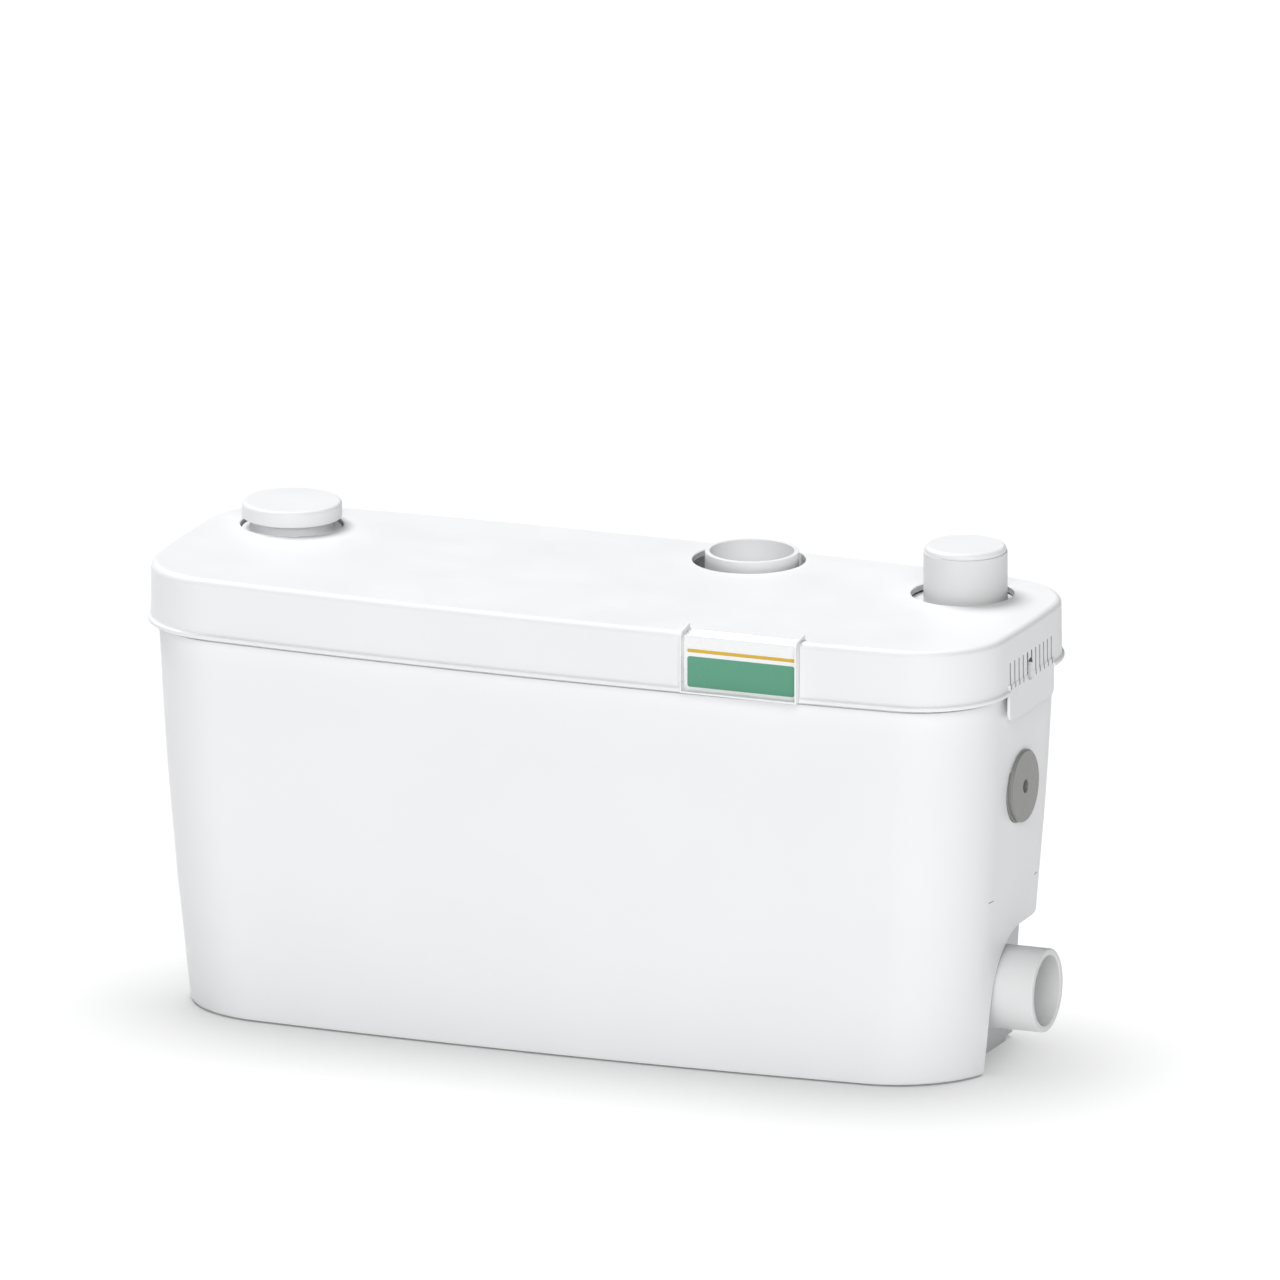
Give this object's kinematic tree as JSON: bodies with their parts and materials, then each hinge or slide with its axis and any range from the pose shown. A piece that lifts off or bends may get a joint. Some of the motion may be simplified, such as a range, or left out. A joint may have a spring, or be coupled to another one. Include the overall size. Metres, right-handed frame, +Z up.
{
  "type": "sewage lifting station",
  "caption": "Compact floor-standing sewage lifting station: drafted tank with a niche and side inlet, lift-off lid, top pipe stubs and a submersible pump on a sealed deck inside.",
  "frame": {"origin": "on the floor under the middle of the tank, at the centre of its flat base", "axes": "+X along the tank towards the low side inlet, +Y to the rear, +Z up"},
  "size_m": [0.4433, 0.163, 0.2423],
  "materials": {
    "shell_white": "satin moulded",
    "deck_white": "satin moulded",
    "label_plate": "gloss",
    "grey_plug": "satin moulded",
    "rubber": "matt",
    "steel": "brushed",
    "motor_case": "brushed",
    "laminations": "stacked sheet",
    "copper": "varnished wire",
    "bearing_bronze": "machined",
    "black_plastic": "moulded",
    "carbon": "granular",
    "board_green": "satin",
    "capacitor_case": "satin"
  },
  "bodies": {
    "station": {"ball_stop": "black_plastic", "cable_gland": "black_plastic", "carbon_filter": "carbon", "check_valve_body": "black_plastic", "control_board": "board_green", "control_box": "deck_white", "control_box_cover": "deck_white", "cover_gasket": "rubber", "cover_screws": "steel", "damper_studs": "steel", "dip_tube": "deck_white", "discharge_elbow": "black_plastic", "discharge_socket": "shell_white", "flap_pin": "steel", "gland_nut": "black_plastic", "hose_bands": "steel", "hose_sleeves": "rubber", "inner_cover": "deck_white", "intake_strainer": "black_plastic", "lead_grommet": "rubber", "lower_bearing": "bearing_bronze", "micro_switch": "black_plastic", "motor_cap": "motor_case", "motor_capacitor": "capacitor_case", "motor_housing": "motor_case", "motor_lead": "black_plastic", "pump_cover": "black_plastic", "pump_dampers": "rubber", "pump_screws": "steel", "riser_pipe": "black_plastic", "shaft_seal": "rubber", "side_inlet_seal": "rubber", "side_inlet_stub": "shell_white", "stator_core": "laminations", "stator_windings": "copper", "switch_cap": "deck_white", "switch_diaphragm": "rubber", "tank": "shell_white", "top_inlet_seal": "rubber", "top_inlet_stub": "shell_white", "upper_bearing": "bearing_bronze", "vent_neck": "shell_white", "volute_casing": "black_plastic"},
    "lid": {"outer_lid": "shell_white", "name_plate": "label_plate"},
    "vent_closure": {"vent_cap": "shell_white"},
    "inlet_closure": {"top_inlet_plug": "shell_white"},
    "blank_plug": {"side_plug": "grey_plug", "plug_bung": "rubber", "plug_screw": "steel", "plug_washer": "steel"},
    "rotor": {"rotor_shaft": "steel", "rotor_core": "laminations", "impeller": "black_plastic", "impeller_nut": "steel"},
    "inlet_flap": {"side_inlet_flap": "rubber"},
    "check_ball": {"check_valve_ball": "rubber"},
    "plunger": {"switch_plunger": "black_plastic"}
  },
  "joints": [
    {"name": "lid_lift", "type": "slide", "parent": "station", "child": "lid", "axis": [0, 0, 1], "range_m": [0, 0.08]},
    {"name": "vent_cap_lift", "type": "slide", "parent": "station", "child": "vent_closure", "axis": [0, 0, 1], "range_m": [0, 0.03]},
    {"name": "inlet_plug_lift", "type": "slide", "parent": "station", "child": "inlet_closure", "axis": [0, 0, 1], "range_m": [0, 0.03]},
    {"name": "blank_plug_pull", "type": "slide", "parent": "station", "child": "blank_plug", "axis": [1, 0, 0], "range_m": [0, 0.03]},
    {"name": "rotor_spin", "type": "hinge", "parent": "station", "child": "rotor", "pos_m": [-0.06, 0, 0.1], "axis": [0, 0, 1], "continuous": true},
    {"name": "inlet_flap_hinge", "type": "hinge", "parent": "station", "child": "inlet_flap", "pos_m": [0.1724, 0, 0.0614], "axis": [0, 1, 0], "range_deg": [0, 60]},
    {"name": "check_ball_lift", "type": "slide", "parent": "station", "child": "check_ball", "axis": [0, 0, 1], "range_m": [0, 0.012]},
    {"name": "switch_press", "type": "slide", "parent": "station", "child": "plunger", "axis": [0, 0, 1], "range_m": [0, 0.002], "stiffness_N_per_m": 200, "springref_m": -0.0005}
  ]
}
